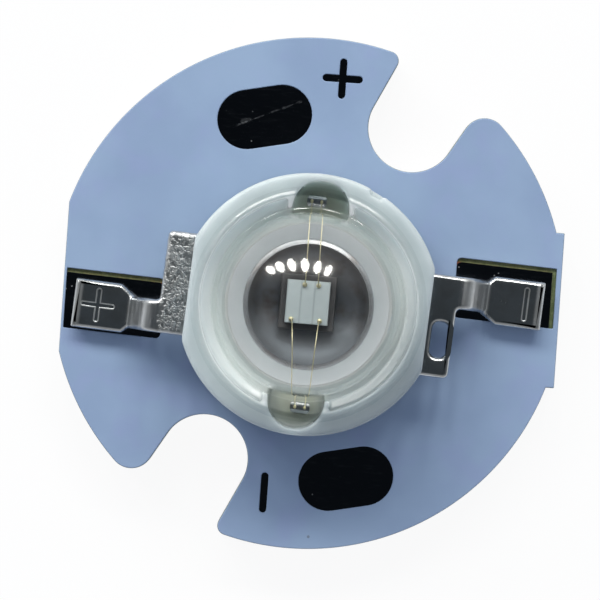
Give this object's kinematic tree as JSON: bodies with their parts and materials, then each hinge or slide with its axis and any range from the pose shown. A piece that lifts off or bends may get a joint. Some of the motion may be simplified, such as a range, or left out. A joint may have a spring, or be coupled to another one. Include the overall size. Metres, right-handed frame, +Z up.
{
  "type": "star board with power led",
  "caption": "Round aluminium-core star board with a flat, a tab and open screw notches, carrying a dome-lens power emitter on folded leads between tinned pads.",
  "frame": {"origin": "under the centre of the board's round outline, on its flat underside", "axes": "+Z up out of the board towards the lens, +X across the board towards the minus lead and the tab, +Y towards the plus mark"},
  "size_m": [0.0156, 0.016, 0.0073],
  "materials": {
    "aluminium_core": "routed aluminium, satin",
    "laminate": "olive glass-filled laminate",
    "copper": "etched copper, covered",
    "mask_lacquer": "pale blue-white lacquer, satin",
    "pad_tin": "smooth tin that mirrors a dark room",
    "solder": "dull solder",
    "slug_silver": "silver plate, bright in the cup",
    "body_plastic": "milky moulded resin",
    "lead_metal": "silver-plated sheet, rounded edges",
    "clear_lens": "water-clear lens resin",
    "clear_gel": "water-clear gel",
    "submount_ceramic": "grey carrier",
    "die_crystal": "pale chip with two dark lines",
    "gold": "gold"
  },
  "bodies": {
    "root": {"base_plate": "aluminium_core", "dielectric_layer": "laminate", "copper_positive": "copper", "copper_negative": "copper", "copper_thermal": "copper", "solder_mask": "mask_lacquer", "tin_lead_positive": "pad_tin", "tin_lead_negative": "pad_tin", "tin_wire_positive": "pad_tin", "tin_wire_negative": "pad_tin", "tin_plus": "pad_tin", "tin_minus": "pad_tin", "thermal_joint": "solder", "heat_slug": "slug_silver", "body": "body_plastic", "anode_lead": "lead_metal", "cathode_lead": "lead_metal", "lens": "clear_lens", "silicone_fill": "clear_gel", "die_attach": "solder", "submount": "submount_ceramic", "die": "die_crystal", "bond_pad_south_1": "gold", "bond_pad_south_2": "gold", "bond_pad_north_1": "gold", "bond_pad_north_2": "gold", "bond_wire_south_1": "gold", "bond_wire_south_2": "gold", "bond_wire_north_1": "gold", "bond_wire_north_2": "gold", "solder_positive": "solder", "solder_negative": "solder"}
  },
  "joints": []
}
